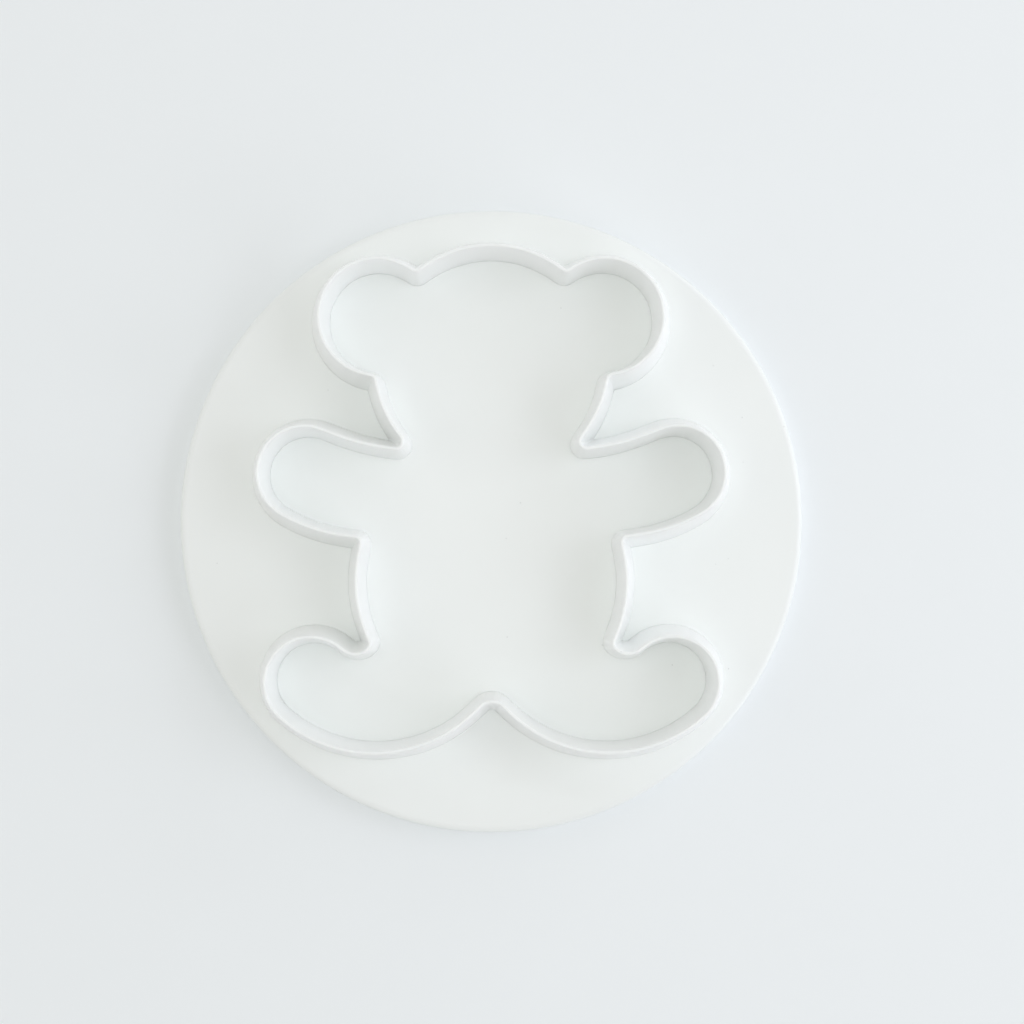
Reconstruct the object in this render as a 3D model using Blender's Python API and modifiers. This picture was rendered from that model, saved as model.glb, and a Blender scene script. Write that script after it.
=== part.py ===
"""Bear-shaped cookie cutter: a tapered cutting wall seated in a round press plate.

Lengths are metres and angles degrees, +Z is up. The origin is the middle of the plate's flat underside. The bear's
head points along +Y, and the cutting rim faces up.
"""
import math

import bmesh
import bpy

# Press plate
PLATE_THICKNESS = 0.0035
PLATE_LAND = 0.0022             # flat land left between the wall's foot and the plate's edge, at the ears
PLATE_TOP_ROUND = 0.0010
PLATE_FOOT_ROUND = 0.0003

# Cutting wall, in section
WALL_HEIGHT = 0.0080            # from the plate's top to the rim
RIM_WIDTH = 0.00050
RIM_ROUND = 0.00020
FOOT_OUTSIDE = 0.00141          # how far the foot spreads outside the rim
FOOT_INSIDE = 0.00088           # how far the foot spreads inside the rim

# Joint between wall and plate
TONGUE_WIDTH = 0.0012
TONGUE_LENGTH = 0.0014
GROOVE_CLEARANCE = 0.0003
SEAT_GAP = 0.0003               # between the wall's shoulders and the plate

# Bear outline, at the rim's outer edge, as seen from above. X is half the distance between a pair.
HEAD_Y = 0.02228
HEAD_RADIUS = 0.01674
EAR_X = 0.01610
EAR_Y = 0.02870
EAR_RADIUS = 0.00852
ARM_END_X = 0.02639
ARM_END_Y = 0.00668
ARM_END_RADIUS = 0.00690
ARM_TOP_SWEEP = 0.0325          # radius of the hollow curve from neck to arm end
ARM_TOP_TURN = 114.2            # where that curve meets the arm end, as the angle of the outline's normal
ARM_BOTTOM_SWEEP = 0.02435      # radius of the full curve from arm end to armpit
ARM_BOTTOM_TURN = -59.8
BELLY_Y = -0.00866
BELLY_RADIUS = 0.01939
LEG_END_X = 0.02559
LEG_END_Y = -0.02292
LEG_END_RADIUS = 0.00676
HIP_SWEEP = 0.00240             # radius of the hollow between belly and leg
HIP_REACH = 0.00135             # from the belly's curve out to the centre of that hollow
LEG_BOTTOM_SWEEP = 0.02040      # radius of the full curve under the leg
LEG_BOTTOM_TURN = -48.5

# Fillets of the outline's inward corners, at the rim
EAR_TOP_FILLET = 0.0005
EAR_JAW_FILLET = 0.00065
NECK_FILLET = 0.0008
ARMPIT_FILLET = 0.0007
HIP_FILLET = 0.0008
CROTCH_FILLET = 0.0021
TIGHTEST_FILLET = 0.00015       # what is left of a fillet where the foot spreads past its centre

# How finely the round shapes are faceted
FACET_SAG = 0.00003
TAPER_LEVELS = 3
RIM_STEPS = 3
TOP_ROUND_STEPS = 4
FOOT_ROUND_STEPS = 2
LEAST_STEPS = 2                 # facets of the shortest arc
CIRCULAR = 0.5                  # bevel profile of a true round
SMOOTH_BELOW = 28.0             # faces that meet at less than this angle are shaded as one

WHITE_PLASTIC = (0.80, 0.83, 0.82, 1.0)
PLASTIC_ROUGHNESS = 0.42
MERGE_DISTANCE = 0.00002


class Arc:
    """One circle of an outline. A radius below zero is a hollow, whose centre lies outside the bear."""

    def __init__(self, x, y, radius):
        self.x = x
        self.y = y
        self.radius = radius

    def point(self, normal):
        """Point of the circle where the outline's outward normal has this angle."""
        return self.x + self.radius * math.cos(normal), self.y + self.radius * math.sin(normal)

    def turn_to(self, start, end):
        """Signed angle swept from one normal to the next: full curves run clockwise, hollows the other way."""
        if self.radius < 0:
            return (end - start) % math.tau
        return -((start - end) % math.tau)


def tangent_arc(arc, turn, radius):
    """Arc that continues `arc` smoothly, from the place where its outward normal has the angle `turn`."""
    normal = math.radians(turn)
    step = arc.radius - radius
    return Arc(arc.x + step * math.cos(normal), arc.y + step * math.sin(normal), radius)


def arc_at_reach(first, first_reach, second, second_reach, radius, side=1):
    """Arc whose centre lies at these distances from the centres of two others, on the given side of the outline."""
    dx = second.x - first.x
    dy = second.y - first.y
    span = math.hypot(dx, dy)
    along = (first_reach ** 2 - second_reach ** 2 + span ** 2) / (2 * span)
    aside = side * math.sqrt(max(first_reach ** 2 - along ** 2, 0.0))
    x = first.x + (along * dx - aside * dy) / span
    y = first.y + (along * dy + aside * dx) / span
    return Arc(x, y, radius)


def fillet_arc(first, second, fillet):
    """Hollow arc of radius `fillet` that touches both arcs in the inward corner between them."""
    side = math.copysign(1, first.radius * second.radius)
    first_reach = abs(first.radius + fillet)
    second_reach = abs(second.radius + fillet)
    return arc_at_reach(first, first_reach, second, second_reach, -fillet, side)


def touch_normal(first, second):
    """Angle of the normal that two touching arcs share."""
    step = first.radius - second.radius
    return math.atan2((second.y - first.y) / step, (second.x - first.x) / step)


def outline_arcs(offset):
    """Arcs of the bear's right half, from the top of the head to the crotch, at an outward offset."""
    head = Arc(0.0, HEAD_Y, HEAD_RADIUS)
    ear = Arc(EAR_X, EAR_Y, EAR_RADIUS)
    arm_end = Arc(ARM_END_X, ARM_END_Y, ARM_END_RADIUS)
    arm_top = tangent_arc(arm_end, ARM_TOP_TURN, -ARM_TOP_SWEEP)
    arm_bottom = tangent_arc(arm_end, ARM_BOTTOM_TURN, ARM_BOTTOM_SWEEP)
    belly = Arc(0.0, BELLY_Y, BELLY_RADIUS)
    leg_end = Arc(LEG_END_X, LEG_END_Y, LEG_END_RADIUS)
    hip = arc_at_reach(belly, BELLY_RADIUS + HIP_REACH, leg_end, LEG_END_RADIUS + HIP_SWEEP, -HIP_SWEEP)
    leg_bottom = tangent_arc(leg_end, LEG_BOTTOM_TURN, LEG_BOTTOM_SWEEP)
    other_leg = Arc(-leg_bottom.x, leg_bottom.y, leg_bottom.radius)
    smooth = None
    links = [
        (EAR_TOP_FILLET, ear),
        (EAR_JAW_FILLET, head),
        (NECK_FILLET, arm_top),
        (smooth, arm_end),
        (smooth, arm_bottom),
        (ARMPIT_FILLET, belly),
        (HIP_FILLET, hip),
        (smooth, leg_end),
        (smooth, leg_bottom),
        (CROTCH_FILLET, other_leg),
    ]
    arcs = [Arc(head.x, head.y, head.radius + offset)]
    for fillet, arc in links:
        grown = Arc(arc.x, arc.y, arc.radius + offset)
        if fillet is not None:
            arcs.append(fillet_arc(arcs[-1], grown, max(fillet - offset, TIGHTEST_FILLET)))
        arcs.append(grown)
    return arcs[:-1]


def outline_normals(arcs):
    """Angles of the normals at the ends of the arcs, from straight up at the head to straight down at the crotch."""
    joints = [touch_normal(first, second) for first, second in zip(arcs, arcs[1:])]
    return [math.pi / 2] + joints + [-math.pi / 2]


def facet_angle(radius):
    """Angle of one facet, so that its middle lies FACET_SAG off the true circle."""
    return 2 * math.acos(1 - FACET_SAG / radius)


def arc_steps():
    """Facets for each arc, the same at every offset, so that the outlines can be lofted."""
    arcs = outline_arcs(0.0)
    normals = outline_normals(arcs)
    steps = []
    for arc, start, end in zip(arcs, normals, normals[1:]):
        widest = abs(arc.radius)
        if arc.radius < 0:
            widest += RIM_WIDTH + FOOT_INSIDE
        steps.append(max(LEAST_STEPS, math.ceil(abs(arc.turn_to(start, end)) / facet_angle(widest))))
    return steps


def half_outline(offset):
    """Points of the bear's right half at an offset, both ends on the mirror plane."""
    arcs = outline_arcs(offset)
    normals = outline_normals(arcs)
    points = []
    for arc, start, end, steps in zip(arcs, normals, normals[1:], arc_steps()):
        turn = arc.turn_to(start, end)
        points.extend(arc.point(start + turn * step / steps) for step in range(steps))
    points.append(arcs[-1].point(normals[-1]))
    points[0] = (0.0, points[0][1])
    points[-1] = (0.0, points[-1][1])
    return points


def quarter_round(offset, height, radius, start):
    """Offsets and heights of a rounded edge about its centre, through a quarter turn."""
    angles = [start + math.pi / 2 * step / RIM_STEPS for step in range(RIM_STEPS + 1)]
    return [(offset + radius * math.cos(angle), height + radius * math.sin(angle)) for angle in angles]


def tongue_middle():
    """Offset of the middle of the wall's foot, where the tongue hangs."""
    return (FOOT_OUTSIDE - RIM_WIDTH - FOOT_INSIDE) / 2


def wall_section():
    """Closed section of the wall as offsets and heights: tongue, outer face, rounded rim, inner face."""
    seat = PLATE_THICKNESS + SEAT_GAP
    rim = PLATE_THICKNESS + WALL_HEIGHT
    foot_inner = -RIM_WIDTH - FOOT_INSIDE
    tongue_outer = tongue_middle() + TONGUE_WIDTH / 2
    tongue_inner = tongue_middle() - TONGUE_WIDTH / 2
    round_height = rim - RIM_ROUND
    section = [
        (tongue_inner, seat - TONGUE_LENGTH),
        (tongue_outer, seat - TONGUE_LENGTH),
        (tongue_outer, seat),
    ]
    for level in range(TAPER_LEVELS):
        share = level / TAPER_LEVELS
        section.append((FOOT_OUTSIDE * (1 - share), seat + (round_height - seat) * share))
    section += quarter_round(-RIM_ROUND, round_height, RIM_ROUND, 0.0)
    section += quarter_round(RIM_ROUND - RIM_WIDTH, round_height, RIM_ROUND, math.pi / 2)
    for level in range(1, TAPER_LEVELS + 1):
        share = level / TAPER_LEVELS
        offset = -RIM_WIDTH + (foot_inner + RIM_WIDTH) * share
        section.append((offset, round_height + (seat - round_height) * share))
    section.append((tongue_inner, seat))
    return section


def groove_section():
    """Closed section of the groove's cutter: the tongue with its clearance, and open above the plate."""
    half_width = TONGUE_WIDTH / 2 + GROOVE_CLEARANCE
    bottom = PLATE_THICKNESS + SEAT_GAP - TONGUE_LENGTH - GROOVE_CLEARANCE
    top = PLATE_THICKNESS + SEAT_GAP
    outer = tongue_middle() + half_width
    inner = tongue_middle() - half_width
    return [(inner, bottom), (outer, bottom), (outer, top), (inner, top)]


def plate_radius():
    """Radius of the plate: the wall's foot at its furthest from the middle, and the land beyond it."""
    reach = max(math.hypot(x, y) for x, y in half_outline(FOOT_OUTSIDE))
    return reach + PLATE_LAND


def add_collection(name):
    collection = bpy.data.collections.new(name)
    bpy.context.scene.collection.children.link(collection)
    return collection


def plastic_material(name):
    material = bpy.data.materials.new(name)
    material.use_nodes = True
    shader = material.node_tree.nodes["Principled BSDF"]
    shader.inputs["Base Color"].default_value = WHITE_PLASTIC
    shader.inputs["Roughness"].default_value = PLASTIC_ROUGHNESS
    shader.inputs["Metallic"].default_value = 0.0
    return material


def add_object(name, mesh, collection):
    new_object = bpy.data.objects.new(name, mesh)
    collection.objects.link(new_object)
    return new_object


def bear_ring(name, section, collection):
    """Loft the section round the bear: the right half from outlines at each offset, the left half by Mirror."""
    outlines = [half_outline(offset) for offset, _ in section]
    shape = bmesh.new()
    columns = []
    for index in range(len(outlines[0])):
        places = zip(outlines, section)
        columns.append([shape.verts.new((*outline[index], height)) for outline, (_, height) in places])
    count = len(section)
    for column, after in zip(columns, columns[1:]):
        for low in range(count):
            high = (low + 1) % count
            shape.faces.new((column[low], column[high], after[high], after[low]))
    bmesh.ops.recalc_face_normals(shape, faces=shape.faces)
    mesh = bpy.data.meshes.new(name)
    shape.to_mesh(mesh)
    shape.free()
    ring = add_object(name, mesh, collection)
    mirror = ring.modifiers.new("left half", "MIRROR")
    mirror.use_axis = (True, False, False)
    mirror.merge_threshold = MERGE_DISTANCE
    return ring


def smooth_rounds(mesh):
    """Shade the round faces smooth and keep the edges crisp."""
    mesh.shade_smooth()
    mesh.set_sharp_from_angle(angle=math.radians(SMOOTH_BELOW))


def build_wall(collection):
    wall = bear_ring("cutter_wall", wall_section(), collection)
    smooth_rounds(wall.data)
    wall.data.materials.append(plastic_material("wall_plastic"))
    return wall


def build_plate(collection, cutters):
    """Round plate with rounded edges, and the groove for the wall's tongue cut into its top."""
    radius = plate_radius()
    segments = math.ceil(math.tau / facet_angle(radius))
    shape = bmesh.new()
    bmesh.ops.create_cone(shape, cap_ends=True, segments=segments, radius1=radius, radius2=radius,
                          depth=PLATE_THICKNESS)
    bmesh.ops.translate(shape, verts=shape.verts, vec=(0.0, 0.0, PLATE_THICKNESS / 2))
    rounds = (
        (PLATE_THICKNESS, PLATE_TOP_ROUND, TOP_ROUND_STEPS),
        (0.0, PLATE_FOOT_ROUND, FOOT_ROUND_STEPS),
    )
    for height, width, steps in rounds:
        corner = [edge for edge in shape.edges
                  if all(abs(vertex.co.z - height) < MERGE_DISTANCE for vertex in edge.verts)]
        bmesh.ops.bevel(shape, geom=corner, offset=width, offset_type="OFFSET", segments=steps,
                        profile=CIRCULAR, affect="EDGES")
    mesh = bpy.data.meshes.new("press_plate")
    shape.to_mesh(mesh)
    shape.free()
    smooth_rounds(mesh)
    plate = add_object("press_plate", mesh, collection)
    plate.data.materials.append(plastic_material("plate_plastic"))

    groove = bear_ring("tongue_groove_cutter", groove_section(), cutters)
    groove.hide_render = True
    groove.display_type = "WIRE"
    cut = plate.modifiers.new("tongue groove", "BOOLEAN")
    cut.operation = "DIFFERENCE"
    cut.solver = "EXACT"
    cut.object = groove
    return plate


def main():
    for old in list(bpy.data.objects):
        bpy.data.objects.remove(old, do_unlink=True)
    cutter = add_collection("bear_cookie_cutter")
    cutting_shapes = add_collection("cutting_shapes")
    build_wall(cutter)
    build_plate(cutter, cutting_shapes)


main()
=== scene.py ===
"""Looks of the bear-shaped cookie cutter: white satin plastic on a pale table, seen from straight above."""
import math

import bpy
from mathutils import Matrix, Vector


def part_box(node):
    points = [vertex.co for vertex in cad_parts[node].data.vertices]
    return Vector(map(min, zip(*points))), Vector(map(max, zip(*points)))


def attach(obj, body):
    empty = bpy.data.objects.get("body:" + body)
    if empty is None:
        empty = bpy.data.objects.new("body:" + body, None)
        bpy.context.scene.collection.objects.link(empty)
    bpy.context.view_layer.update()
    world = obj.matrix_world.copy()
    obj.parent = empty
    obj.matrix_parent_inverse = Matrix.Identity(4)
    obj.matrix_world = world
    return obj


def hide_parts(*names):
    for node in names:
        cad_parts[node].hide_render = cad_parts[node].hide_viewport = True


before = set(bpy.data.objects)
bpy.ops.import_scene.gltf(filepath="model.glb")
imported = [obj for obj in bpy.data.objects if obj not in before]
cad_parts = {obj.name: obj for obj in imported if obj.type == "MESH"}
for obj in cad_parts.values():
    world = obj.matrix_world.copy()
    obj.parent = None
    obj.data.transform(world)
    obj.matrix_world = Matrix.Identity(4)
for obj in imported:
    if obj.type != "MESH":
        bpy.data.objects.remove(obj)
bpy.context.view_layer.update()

# Heights of the cutter, in metres
PLATE_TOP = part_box("press_plate")[1].z
PLATE_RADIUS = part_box("press_plate")[1].x
WALL_SEAT = PLATE_TOP + 0.0003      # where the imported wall's shoulders stand
TONGUE_DROP = 0.0005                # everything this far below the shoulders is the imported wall's tongue
RIM_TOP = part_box("cutter_wall")[1].z
WALL_ROOT = 0.0004                  # how far the wall stands down into the plate
SUPPORT_LOOPS = (                   # heights that hold the root's edge and the rim's round in the smoothing
    PLATE_TOP - 0.00020,
    RIM_TOP - 0.00060,
    RIM_TOP - 0.00030,
)
SMOOTHING_STEPS = 2
ON_LEVEL = 0.00001                  # points this near to a height lie on it
WELD = 0.000001                     # points this near to each other are one

# Plate, and the marks that the mould leaves on it
PLATE_SIDES = 256
TOP_ROUND = 0.0010                  # width of the top edge's round
TOP_ROUND_DROP = 0.6                # its depth, as a share of its width
TOP_ROUND_STEPS = 8
FOOT_ROUND = 0.0003
FOOT_ROUND_STEPS = 4
PIN_MARK_SIDES = 96                 # shallow round mark of an ejector pin, below the bear's legs
PIN_MARK_X = 0.0001
PIN_MARK_Y = -0.03495
PIN_MARK_RADIUS = 0.00304
PIN_MARK_SLOPE = 0.00022            # how far the mark's side leans out over its depth
PIN_MARK_DEPTH = 0.00004
GATE_SINK_RADIUS = 0.0022           # sunken gate in the middle of the underside, with the sprue's stub in it
GATE_SINK_DEPTH = 0.00030
GATE_STUB_RADIUS = 0.0007
GATE_STUB_HEIGHT = 0.00018

# The photograph's camera, straight above a point near the legs
CAMERA_OVER_X = -0.00102
CAMERA_OVER_Y = -0.00861
CAMERA_OVER_PLATE = 0.2937
CAMERA_ROLL = -0.11
PIXELS_PER_METRE = 6911.0           # at the plate's top
PICTURE_WIDTH = 1024
SENSOR_WIDTH = 36.0
VIEW_SHIFT_X = 0.02705
VIEW_SHIFT_Y = 0.06746

MILLIMETRE = 0.001
WHITE_PLASTIC = (0.916, 0.938, 0.930, 1.0)
SATIN = 0.42
PLATE_SATIN = 0.43
TRANSLUCENCE = 0.7
LIGHT_REACH = 0.0015                # how far light travels inside the thin wall

# Grain of the plastic's skin, in metres across
PIT_SIZE = 0.00022
COARSE_PIT_SIZE = 0.0007
WAVE_SIZE = 0.013
CLOUD_SIZE = 0.006
SPECK_CELLS = 500.0                 # cells per metre that may hold a speck
SPECK_RADIUS = 0.045                # in shares of a cell
SPECK_CHANCE = 0.25
CLOUD_GLOSS = 0.12
PIT_GLOSS = 0.10

# Wear of the rim and of the plate's edge, and scuffs
WEAR_PATCH_SIZE = 0.0025
WEAR_PATCH_REACH = 0.0004
RIM_WEAR = (RIM_TOP - 0.0009, RIM_TOP - 0.0001)
RIM_WEAR_GLOSS = 0.08
EDGE_WEAR = (PLATE_RADIUS - 0.0018, PLATE_RADIUS - 0.0004)
EDGE_WEAR_GLOSS = 0.07
SCUFFS = (                          # turn in degrees, length and width in metres
    (24.0, 0.030, 0.00025),
    (-61.0, 0.022, 0.00022),
)
SCUFF_START = 0.20
SCUFF_END = 0.30
SCUFF_SHADE = -0.006
SCUFF_GLOSS = 0.05
SCUFF_DEPTH_MM = 0.002

# Turned rings on the underside
UNDERSIDE_TOP = 0.0004
RING_SPACING = 0.0006
RING_DEPTH_MM = 0.0012

PALE_TABLE = (0.902, 0.930, 0.950, 1.0)
TABLE_RADIUS = 0.45
TABLE_SIDES = 256
TABLE_GAP = 0.00002                 # hairline gap under the plate
CLEAR_REACH = 0.0004                # rays from the underside that meet the table this soon pass through it
TABLE_CLOUD_SIZE = 0.009
TABLE_TOOTH_SIZE = 0.0004
TABLE_CLOUD_SHADE = 0.012
TABLE_TOOTH_SHADE = 0.010
TABLE_TOOTH_DEPTH_MM = 0.006
TABLE_CLOUD_GLOSS = 0.1
TABLE_ROUGHNESS = 0.6

ROOM_LIGHT = (1.0, 1.0, 0.965, 1.0)
ROOM_STRENGTH = 0.43
PALE_BACKDROP = (0.86, 0.88, 0.89, 1.0)
WALL_LIGHT = (1.0, 1.0, 0.965)
WINDOW_LIGHT = (0.90, 0.925, 1.0)
LAMP_AWAY = 0.9
CEILING_AWAY = 1.2
CEILING_SIZE = 0.5
CEILING_SHARE = 0.120
WALL_LAMPS = (                      # name, turn and height in degrees, size, share of the light
    ("back_wall", 100, 35, 0.7, 0.040),
    ("left_wall", 180, 35, 0.7, 0.070),
    ("front_wall", -120, 35, 0.7, 0.025),
    ("back_corner", 150, 15, 0.6, 0.013),
)
WINDOW_LAMPS = (
    ("window_low_front", -35, 12, 0.45, 0.020),
    ("window_low_middle", 5, 12, 0.45, 0.007),
    ("window_low_back", 45, 12, 0.45, 0.028),
    ("window_front", -35, 30, 0.45, 0.053),
    ("window_middle", 5, 28, 0.45, 0.057),
    ("window_high_middle", 5, 45, 0.45, 0.056),
    ("window_high_back", 45, 40, 0.45, 0.025),
)


def deselect_all():
    bpy.ops.object.select_all(action="DESELECT")


def pick(piece):
    """Make this piece the only one selected, and the active one."""
    deselect_all()
    piece.select_set(True)
    bpy.context.view_layer.objects.active = piece


def edit(piece, kind):
    """Open a piece in edit mode with nothing selected."""
    pick(piece)
    bpy.ops.object.mode_set(mode="EDIT")
    bpy.ops.mesh.select_mode(type=kind)
    bpy.ops.mesh.select_all(action="DESELECT")


def leave_edit():
    bpy.ops.object.mode_set(mode="OBJECT")


def edit_points(piece, wanted):
    """Open a piece in edit mode with the vertices selected for which wanted(place) is true."""
    edit(piece, "VERT")
    leave_edit()
    for vertex in piece.data.vertices:
        vertex.select = wanted(vertex.co)
    bpy.ops.object.mode_set(mode="EDIT")


def edit_faces(piece, wanted):
    """Open a piece in edit mode with the faces selected for which wanted(middle, normal) is true."""
    edit(piece, "FACE")
    leave_edit()
    for face in piece.data.polygons:
        face.select = wanted(face.center, face.normal)
    bpy.ops.object.mode_set(mode="EDIT")


def settle_origin(piece):
    """Put the piece's place into its mesh, so that its object sits at the origin, unturned and unscaled."""
    pick(piece)
    bpy.ops.object.transform_apply(location=True, rotation=True, scale=True)


def apply_modifier(piece, modifier):
    pick(piece)
    bpy.ops.object.modifier_apply(modifier=modifier.name)


def smooth_rounds(piece, angle):
    """Shade the round faces smooth and keep the edges crisp."""
    pick(piece)
    bpy.ops.object.shade_smooth_by_angle(angle=math.radians(angle))


def cut_round(piece, height):
    """Cut a ring of edges round a piece at a height."""
    edit_points(piece, lambda place: True)
    bpy.ops.mesh.bisect(plane_co=(0.0, 0.0, height), plane_no=(0.0, 0.0, 1.0), threshold=WELD)
    leave_edit()


def make_wall():
    """The cutting wall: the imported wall's shape with a short flat root for its tongue, and a smooth skin."""
    wall = bpy.data.objects.new("bear_wall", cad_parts["cutter_wall"].data.copy())
    bpy.context.scene.collection.objects.link(wall)
    wall.data.materials.clear()
    edit_points(wall, lambda place: True)
    bpy.ops.mesh.remove_doubles(threshold=WELD)
    bpy.ops.mesh.tris_convert_to_quads(face_threshold=math.radians(30), shape_threshold=math.radians(180))
    leave_edit()

    edit_points(wall, lambda place: place.z < WALL_SEAT - TONGUE_DROP)
    bpy.ops.mesh.delete(type="VERT")
    leave_edit()
    edit_points(wall, lambda place: place.z < WALL_SEAT + ON_LEVEL)
    bpy.ops.transform.translate(value=(0.0, 0.0, PLATE_TOP - WALL_ROOT - WALL_SEAT))
    leave_edit()
    edit(wall, "EDGE")
    bpy.ops.mesh.select_non_manifold()
    bpy.ops.mesh.bridge_edge_loops()
    leave_edit()
    for height in SUPPORT_LOOPS:
        cut_round(wall, height)
    smooth = wall.modifiers.new("smooth skin", "SUBSURF")
    smooth.levels = SMOOTHING_STEPS
    smooth.render_levels = SMOOTHING_STEPS
    apply_modifier(wall, smooth)
    smooth_rounds(wall, 40)
    return wall


def make_plate():
    """The round plate: a disc with rounded edges, a pin's mark on top and a sunken gate underneath."""
    deselect_all()
    bpy.ops.mesh.primitive_cylinder_add(vertices=PLATE_SIDES, radius=PLATE_RADIUS, depth=PLATE_TOP,
                                        location=(0.0, 0.0, PLATE_TOP / 2))
    plate = bpy.context.active_object
    plate.name = "round_plate"
    settle_origin(plate)
    for height, width, steps in (
        (PLATE_TOP, TOP_ROUND, TOP_ROUND_STEPS),
        (0.0, FOOT_ROUND, FOOT_ROUND_STEPS),
    ):
        edit_points(plate, lambda place: abs(place.z - height) < ON_LEVEL)
        bpy.ops.mesh.bevel(offset=width, offset_type="OFFSET", segments=steps, affect="EDGES")
        leave_edit()
    edit_points(plate, lambda place: place.z > PLATE_TOP - TOP_ROUND - ON_LEVEL)
    bpy.ops.transform.resize(value=(1.0, 1.0, TOP_ROUND_DROP), center_override=(0.0, 0.0, PLATE_TOP))
    leave_edit()
    sink_gate(plate)
    press_pin_mark(plate)
    smooth_rounds(plate, 40)
    return plate


def sink_gate(plate):
    """Sink the gate into the middle of the underside, and leave the sprue's stub in it."""
    edit_faces(plate, lambda middle, normal: normal.z < -0.99 and middle.z < ON_LEVEL)
    bpy.ops.mesh.inset(thickness=PLATE_RADIUS - FOOT_ROUND - GATE_SINK_RADIUS, use_even_offset=True)
    bpy.ops.mesh.extrude_region_move(TRANSFORM_OT_translate={"value": (0.0, 0.0, GATE_SINK_DEPTH)})
    bpy.ops.mesh.inset(thickness=GATE_SINK_RADIUS - GATE_STUB_RADIUS, use_even_offset=True)
    bpy.ops.mesh.extrude_region_move(TRANSFORM_OT_translate={"value": (0.0, 0.0, -GATE_STUB_HEIGHT)})
    leave_edit()


def press_pin_mark(plate):
    """Press the ejector pin's shallow round mark into the top face."""
    deselect_all()
    rise = 4 * PIN_MARK_DEPTH
    bpy.ops.mesh.primitive_cone_add(
        vertices=PIN_MARK_SIDES,
        radius1=PIN_MARK_RADIUS - PIN_MARK_SLOPE,
        radius2=PIN_MARK_RADIUS + 3 * PIN_MARK_SLOPE,
        depth=rise,
        location=(PIN_MARK_X, PIN_MARK_Y, PLATE_TOP - PIN_MARK_DEPTH + rise / 2),
    )
    pin = bpy.context.active_object
    cut = plate.modifiers.new("pin mark", "BOOLEAN")
    cut.operation = "DIFFERENCE"
    cut.solver = "EXACT"
    cut.object = pin
    apply_modifier(plate, cut)
    bpy.data.objects.remove(pin, do_unlink=True)


def make_table():
    """A plain pale round table top."""
    deselect_all()
    bpy.ops.mesh.primitive_circle_add(
        vertices=TABLE_SIDES,
        radius=TABLE_RADIUS,
        fill_type="NGON",
        location=(0.0, 0.0, -TABLE_GAP),
    )
    table = bpy.context.active_object
    table.name = "table"
    return table


def new_group(name, inputs, outputs):
    """Start a shader node group. Inputs are (name, kind, starting value) and outputs (name, kind)."""
    group = bpy.data.node_groups.new(name, "ShaderNodeTree")
    for label, kind, value in inputs:
        socket = group.interface.new_socket(label, in_out="INPUT", socket_type=kind)
        socket.default_value = value
    for label, kind in outputs:
        group.interface.new_socket(label, in_out="OUTPUT", socket_type=kind)
    return group, group.nodes.new("NodeGroupInput"), group.nodes.new("NodeGroupOutput")


def feed(tree, value, socket):
    """Give a socket another node's output, or a plain value."""
    if isinstance(value, bpy.types.NodeSocket):
        tree.links.new(value, socket)
    else:
        socket.default_value = value


def add_math(tree, operation, first, second=0.0):
    """A Math node, whose inputs are outputs of other nodes or plain numbers."""
    node = tree.nodes.new("ShaderNodeMath")
    node.operation = operation
    feed(tree, first, node.inputs[0])
    feed(tree, second, node.inputs[1])
    return node.outputs["Value"]


def add_noise(tree, place, size, detail):
    """Noise whose lumps are about `size` metres across, centred on zero."""
    noise = tree.nodes.new("ShaderNodeTexNoise")
    noise.inputs["Scale"].default_value = 1.0 / size
    noise.inputs["Detail"].default_value = detail
    tree.links.new(place, noise.inputs["Vector"])
    return add_math(tree, "SUBTRACT", noise.outputs["Fac"], 0.5)


def add_ramp(tree, value, start, end):
    """Rise smoothly from 0 at the start value to 1 at the end value."""
    ramp = tree.nodes.new("ShaderNodeMapRange")
    ramp.interpolation_type = "SMOOTHSTEP"
    feed(tree, value, ramp.inputs["Value"])
    feed(tree, start, ramp.inputs["From Min"])
    feed(tree, end, ramp.inputs["From Max"])
    return ramp.outputs["Result"]


def shaded(tree, colour, shade):
    """A colour made lighter or darker by a share that changes over the surface."""
    scale = tree.nodes.new("ShaderNodeVectorMath")
    scale.operation = "SCALE"
    feed(tree, colour, scale.inputs[0])
    tree.links.new(add_math(tree, "ADD", shade, 1.0), scale.inputs["Scale"])
    return scale.outputs["Vector"]


def surface_place(tree):
    return tree.nodes.new("ShaderNodeTexCoord").outputs["Object"]


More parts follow.
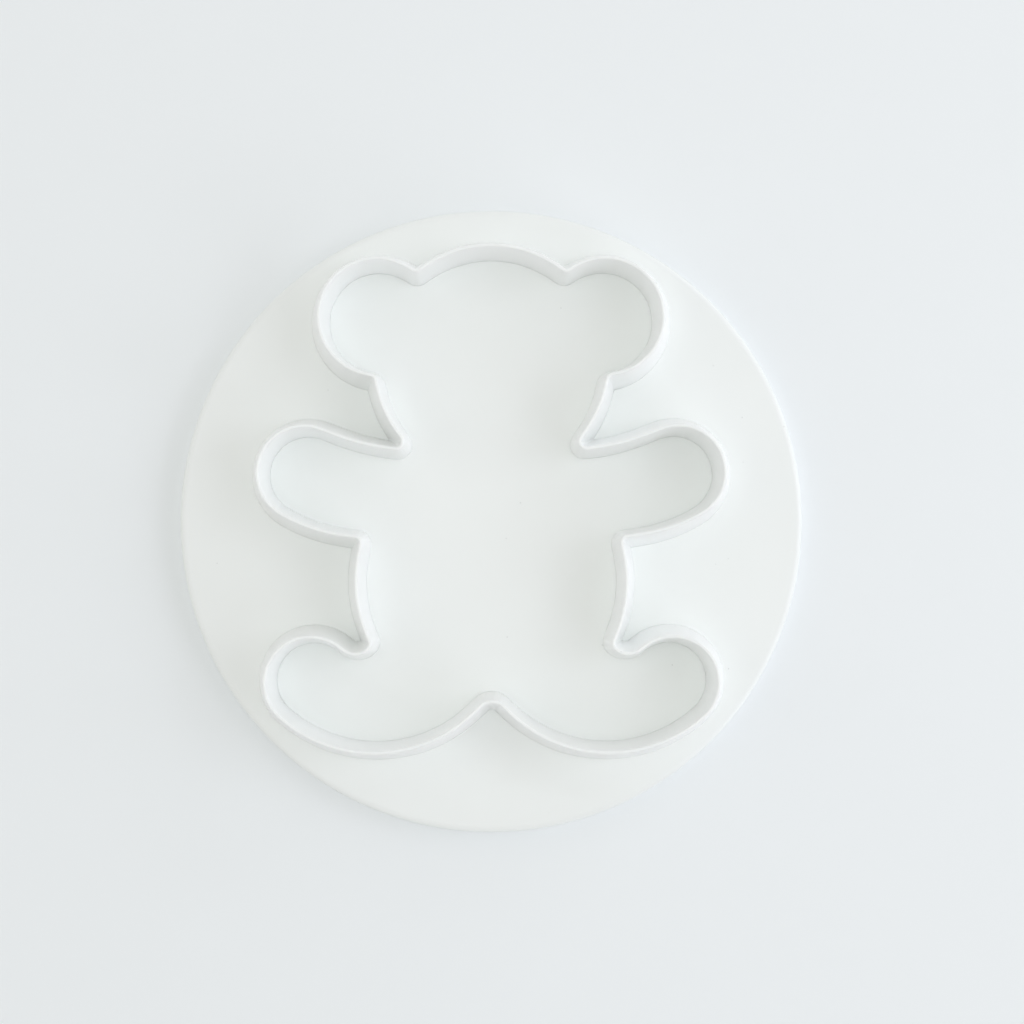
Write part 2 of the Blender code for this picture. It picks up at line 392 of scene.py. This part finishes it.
def moulded_skin_group():
    """Skin from a spark-finished mould: fine pits, slow waves, faint clouds of tone and rare specks."""
    group, given, result = new_group("moulded_skin", [
        ("Colour", "NodeSocketColor", WHITE_PLASTIC),
        ("Roughness", "NodeSocketFloat", SATIN),
        ("Pit depth mm", "NodeSocketFloat", 0.003),
        ("Wave depth mm", "NodeSocketFloat", 0.02),
        ("Cloud", "NodeSocketFloat", 0.02),
        ("Speck", "NodeSocketFloat", 0.2),
    ], [
        ("Colour", "NodeSocketColor"),
        ("Roughness", "NodeSocketFloat"),
        ("Height mm", "NodeSocketFloat"),
    ])
    place = surface_place(group)
    pits = add_noise(group, place, PIT_SIZE, 2.0)
    coarse_pits = add_noise(group, place, COARSE_PIT_SIZE, 1.0)
    waves = add_noise(group, place, WAVE_SIZE, 1.0)
    clouds = add_noise(group, place, CLOUD_SIZE, 3.0)

    specks = group.nodes.new("ShaderNodeTexVoronoi")
    specks.inputs["Scale"].default_value = SPECK_CELLS
    group.links.new(place, specks.inputs["Vector"])
    chance = group.nodes.new("ShaderNodeSeparateColor")
    group.links.new(specks.outputs["Color"], chance.inputs["Color"])
    near = add_math(group, "LESS_THAN", specks.outputs["Distance"], SPECK_RADIUS)
    rare = add_math(group, "LESS_THAN", chance.outputs["Red"], SPECK_CHANCE)
    speck = add_math(group, "MULTIPLY", add_math(group, "MULTIPLY", near, rare), given.outputs["Speck"])

    shade = add_math(group, "SUBTRACT", add_math(group, "MULTIPLY", clouds, given.outputs["Cloud"]), speck)
    group.links.new(shaded(group, given.outputs["Colour"], shade), result.inputs["Colour"])

    gloss = add_math(group, "MULTIPLY", clouds, CLOUD_GLOSS)
    gloss = add_math(group, "ADD", given.outputs["Roughness"], gloss)
    gloss = add_math(group, "ADD", gloss, add_math(group, "MULTIPLY", coarse_pits, PIT_GLOSS))
    group.links.new(gloss, result.inputs["Roughness"])

    fine = add_math(group, "ADD", pits, coarse_pits)
    fine = add_math(group, "MULTIPLY", fine, given.outputs["Pit depth mm"])
    slow = add_math(group, "MULTIPLY", waves, given.outputs["Wave depth mm"])
    group.links.new(add_math(group, "ADD", fine, slow), result.inputs["Height mm"])
    return group


def worn_edge_group():
    """Mask of an edge that hands and dough rubbed smooth: full past End, patchy between Start and End."""
    group, given, result = new_group("worn_edge", [
        ("Distance", "NodeSocketFloat", 0.0),
        ("Start", "NodeSocketFloat", 0.0),
        ("End", "NodeSocketFloat", 1.0),
    ], [("Mask", "NodeSocketFloat")])
    patches = add_noise(group, surface_place(group), WEAR_PATCH_SIZE, 2.0)
    patches = add_math(group, "MULTIPLY", patches, WEAR_PATCH_REACH)
    distance = add_math(group, "ADD", given.outputs["Distance"], patches)
    mask = add_ramp(group, distance, given.outputs["Start"], given.outputs["End"])
    group.links.new(mask, result.inputs["Mask"])
    return group


def hairline_group():
    """Fine scuffs in two directions, as sliding on a worktop leaves."""
    group, given, result = new_group("hairline_scuffs", [
        ("Amount", "NodeSocketFloat", 1.0),
    ], [("Mask", "NodeSocketFloat")])
    place = surface_place(group)
    masks = []
    for angle, length, width in SCUFFS:
        turn = group.nodes.new("ShaderNodeMapping")
        turn.vector_type = "TEXTURE"
        turn.inputs["Rotation"].default_value = (0.0, 0.0, math.radians(angle))
        turn.inputs["Scale"].default_value = (length, width, length)
        group.links.new(place, turn.inputs["Vector"])
        streaks = add_noise(group, turn.outputs["Vector"], 1.0, 1.0)
        masks.append(add_ramp(group, streaks, SCUFF_START, SCUFF_END))
    both = add_math(group, "MAXIMUM", masks[0], masks[1])
    group.links.new(add_math(group, "MULTIPLY", both, given.outputs["Amount"]), result.inputs["Mask"])
    return group


def place_group(tree, group, values):
    """Put a node group into a material, with its own values by the inputs' names."""
    node = tree.nodes.new("ShaderNodeGroup")
    node.node_tree = group
    for label, value in values.items():
        feed(tree, value, node.inputs[label])
    return node.outputs


def start_material(name):
    material = bpy.data.materials.new(name)
    material.use_nodes = True
    return material, material.node_tree, material.node_tree.nodes["Principled BSDF"]


def let_light_in(shader):
    """The thin white wall lets light in and scatters it."""
    shader.inputs["Subsurface Weight"].default_value = TRANSLUCENCE
    shader.inputs["Subsurface Radius"].default_value = (1.0, 1.0, 1.0)
    shader.inputs["Subsurface Scale"].default_value = LIGHT_REACH


def raise_bump(tree, shader, height):
    """Feed a height in millimetres to the shader's normal."""
    bump = tree.nodes.new("ShaderNodeBump")
    bump.inputs["Distance"].default_value = MILLIMETRE
    tree.links.new(height, bump.inputs["Height"])
    tree.links.new(bump.outputs["Normal"], shader.inputs["Normal"])


def wall_plastic(skin, worn_edge):
    """White satin plastic, rubbed a little smoother along the cutting rim."""
    material, tree, shader = start_material("wall_white_plastic")
    let_light_in(shader)
    surface = place_group(tree, skin, {
        "Colour": WHITE_PLASTIC,
        "Roughness": SATIN,
        "Pit depth mm": 0.003,
        "Wave depth mm": 0.015,
        "Cloud": 0.02,
        "Speck": 0.15,
    })
    axes = tree.nodes.new("ShaderNodeSeparateXYZ")
    tree.links.new(surface_place(tree), axes.inputs["Vector"])
    rim = place_group(tree, worn_edge, {
        "Distance": axes.outputs["Z"],
        "Start": RIM_WEAR[0],
        "End": RIM_WEAR[1],
    })["Mask"]
    tree.links.new(surface["Colour"], shader.inputs["Base Color"])
    worn = add_math(tree, "MULTIPLY", rim, RIM_WEAR_GLOSS)
    gloss = add_math(tree, "SUBTRACT", surface["Roughness"], worn)
    tree.links.new(gloss, shader.inputs["Roughness"])
    raise_bump(tree, shader, surface["Height mm"])
    return material


def plate_plastic(skin, worn_edge, scuffs):
    """The same plastic, smoother round the plate's edge, with fine scuffs, and turned rings underneath."""
    material, tree, shader = start_material("plate_white_plastic")
    surface = place_group(tree, skin, {
        "Colour": WHITE_PLASTIC,
        "Roughness": PLATE_SATIN,
        "Pit depth mm": 0.003,
        "Wave depth mm": 0.03,
        "Cloud": 0.02,
        "Speck": 0.2,
    })
    axes = tree.nodes.new("ShaderNodeSeparateXYZ")
    tree.links.new(surface_place(tree), axes.inputs["Vector"])
    across = add_math(tree, "MULTIPLY", axes.outputs["X"], axes.outputs["X"])
    along = add_math(tree, "MULTIPLY", axes.outputs["Y"], axes.outputs["Y"])
    radius = add_math(tree, "SQRT", add_math(tree, "ADD", across, along))
    edge = place_group(tree, worn_edge, {
        "Distance": radius,
        "Start": EDGE_WEAR[0],
        "End": EDGE_WEAR[1],
    })["Mask"]
    lines = place_group(tree, scuffs, {"Amount": 1.0})["Mask"]

    shade = add_math(tree, "MULTIPLY", lines, SCUFF_SHADE)
    tree.links.new(shaded(tree, surface["Colour"], shade), shader.inputs["Base Color"])
    worn = add_math(tree, "MULTIPLY", edge, EDGE_WEAR_GLOSS)
    gloss = add_math(tree, "SUBTRACT", surface["Roughness"], worn)
    gloss = add_math(tree, "SUBTRACT", gloss, add_math(tree, "MULTIPLY", lines, SCUFF_GLOSS))
    tree.links.new(gloss, shader.inputs["Roughness"])

    underside = add_math(tree, "LESS_THAN", axes.outputs["Z"], UNDERSIDE_TOP)
    turned = add_math(tree, "SINE", add_math(tree, "MULTIPLY", radius, math.tau / RING_SPACING))
    rings = add_math(tree, "MULTIPLY", turned, add_math(tree, "MULTIPLY", underside, RING_DEPTH_MM))
    height = add_math(tree, "ADD", surface["Height mm"], rings)
    height = add_math(tree, "SUBTRACT", height, add_math(tree, "MULTIPLY", lines, SCUFF_DEPTH_MM))
    raise_bump(tree, shader, height)
    return material


def table_laminate():
    """Pale matt laminate with faint clouds and a fine tooth, clear from below."""
    material, tree, shader = start_material("pale_table")
    place = surface_place(tree)
    clouds = add_noise(tree, place, TABLE_CLOUD_SIZE, 3.0)
    tooth = add_noise(tree, place, TABLE_TOOTH_SIZE, 2.0)
    cloud_shade = add_math(tree, "MULTIPLY", clouds, TABLE_CLOUD_SHADE)
    tooth_shade = add_math(tree, "MULTIPLY", tooth, TABLE_TOOTH_SHADE)
    shade = add_math(tree, "ADD", cloud_shade, tooth_shade)
    tree.links.new(shaded(tree, PALE_TABLE[:3], shade), shader.inputs["Base Color"])
    gloss = add_math(tree, "ADD", add_math(tree, "MULTIPLY", clouds, TABLE_CLOUD_GLOSS), TABLE_ROUGHNESS)
    tree.links.new(gloss, shader.inputs["Roughness"])
    raise_bump(tree, shader, add_math(tree, "MULTIPLY", tooth, TABLE_TOOTH_DEPTH_MM))

    # From below the table is clear, so that the plate's underside can be looked at
    ray = tree.nodes.new("ShaderNodeLightPath")
    side = tree.nodes.new("ShaderNodeNewGeometry")
    below = add_math(tree, "MULTIPLY", ray.outputs["Is Camera Ray"], side.outputs["Backfacing"])
    touching = add_math(tree, "LESS_THAN", ray.outputs["Ray Length"], CLEAR_REACH)
    clear = add_math(tree, "MAXIMUM", below, touching)
    tree.links.new(add_math(tree, "SUBTRACT", 1.0, clear), shader.inputs["Alpha"])
    return material


def make_room_light():
    """Even light from all round, and a pale backdrop where the camera or a reflection sees past the table."""
    world = bpy.data.worlds.new("room")
    bpy.context.scene.world = world
    world.use_nodes = True
    tree = world.node_tree
    room = tree.nodes["Background"]
    room.inputs["Color"].default_value = ROOM_LIGHT
    room.inputs["Strength"].default_value = ROOM_STRENGTH
    backdrop = tree.nodes.new("ShaderNodeBackground")
    backdrop.inputs["Color"].default_value = PALE_BACKDROP
    ray = tree.nodes.new("ShaderNodeLightPath")
    seen = add_math(tree, "MAXIMUM", ray.outputs["Is Camera Ray"], ray.outputs["Is Glossy Ray"])
    seen = add_math(tree, "MAXIMUM", seen, ray.outputs["Is Transmission Ray"])
    mix = tree.nodes.new("ShaderNodeMixShader")
    tree.links.new(seen, mix.inputs["Fac"])
    tree.links.new(room.outputs["Background"], mix.inputs[1])
    tree.links.new(backdrop.outputs["Background"], mix.inputs[2])
    tree.links.new(mix.outputs["Shader"], tree.nodes["World Output"].inputs["Surface"])


def add_lamp(name, turn, height, away, size, share, tint):
    """A soft square lamp aimed at the plate. Turn and height are degrees, seen from the plate's middle.

    The share is the part of full light that the lamp gives to a level surface.
    """
    light = bpy.data.lights.new(name, "AREA")
    light.shape = "SQUARE"
    light.size = size
    light.color = tint
    around = math.radians(turn)
    up = math.radians(height)
    light.energy = share * math.pi ** 2 * away ** 2 / math.sin(up)
    lamp = bpy.data.objects.new(name, light)
    bpy.context.scene.collection.objects.link(lamp)
    level = away * math.cos(up)
    lamp.location = (level * math.cos(around), level * math.sin(around), away * math.sin(up))
    lamp.rotation_euler = (0.0, math.pi / 2 - up, around)


def make_lights():
    """Daylight from windows on the right, low and high, and from a ceiling and pale walls round the rest."""
    make_room_light()
    add_lamp("ceiling", 0, 90, CEILING_AWAY, CEILING_SIZE, CEILING_SHARE, WALL_LIGHT)
    for lamps, tint in ((WALL_LAMPS, WALL_LIGHT), (WINDOW_LAMPS, WINDOW_LIGHT)):
        for name, turn, height, size, share in lamps:
            add_lamp(name, turn, height, LAMP_AWAY, size, share, tint)


def make_camera():
    camera = bpy.data.cameras.new("photo_camera")
    camera.sensor_width = SENSOR_WIDTH
    camera.lens = PIXELS_PER_METRE * CAMERA_OVER_PLATE * SENSOR_WIDTH / PICTURE_WIDTH
    camera.shift_x = VIEW_SHIFT_X
    camera.shift_y = VIEW_SHIFT_Y
    holder = bpy.data.objects.new("photo_camera", camera)
    bpy.context.scene.collection.objects.link(holder)
    holder.location = (CAMERA_OVER_X, CAMERA_OVER_Y, PLATE_TOP + CAMERA_OVER_PLATE)
    holder.rotation_euler = (0.0, 0.0, math.radians(CAMERA_ROLL))
    bpy.context.scene.camera = holder


bpy.context.scene.view_settings.view_transform = "Standard"
make_camera()
make_lights()
table = make_table()
table.data.materials.append(table_laminate())

moulded_skin = moulded_skin_group()
worn_edge = worn_edge_group()
hairline_scuffs = hairline_group()

wall = make_wall()
wall.data.materials.append(wall_plastic(moulded_skin, worn_edge))
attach(wall, "root")
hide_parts("cutter_wall")

plate = make_plate()
plate.data.materials.append(plate_plastic(moulded_skin, worn_edge, hairline_scuffs))
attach(plate, "root")
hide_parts("press_plate")
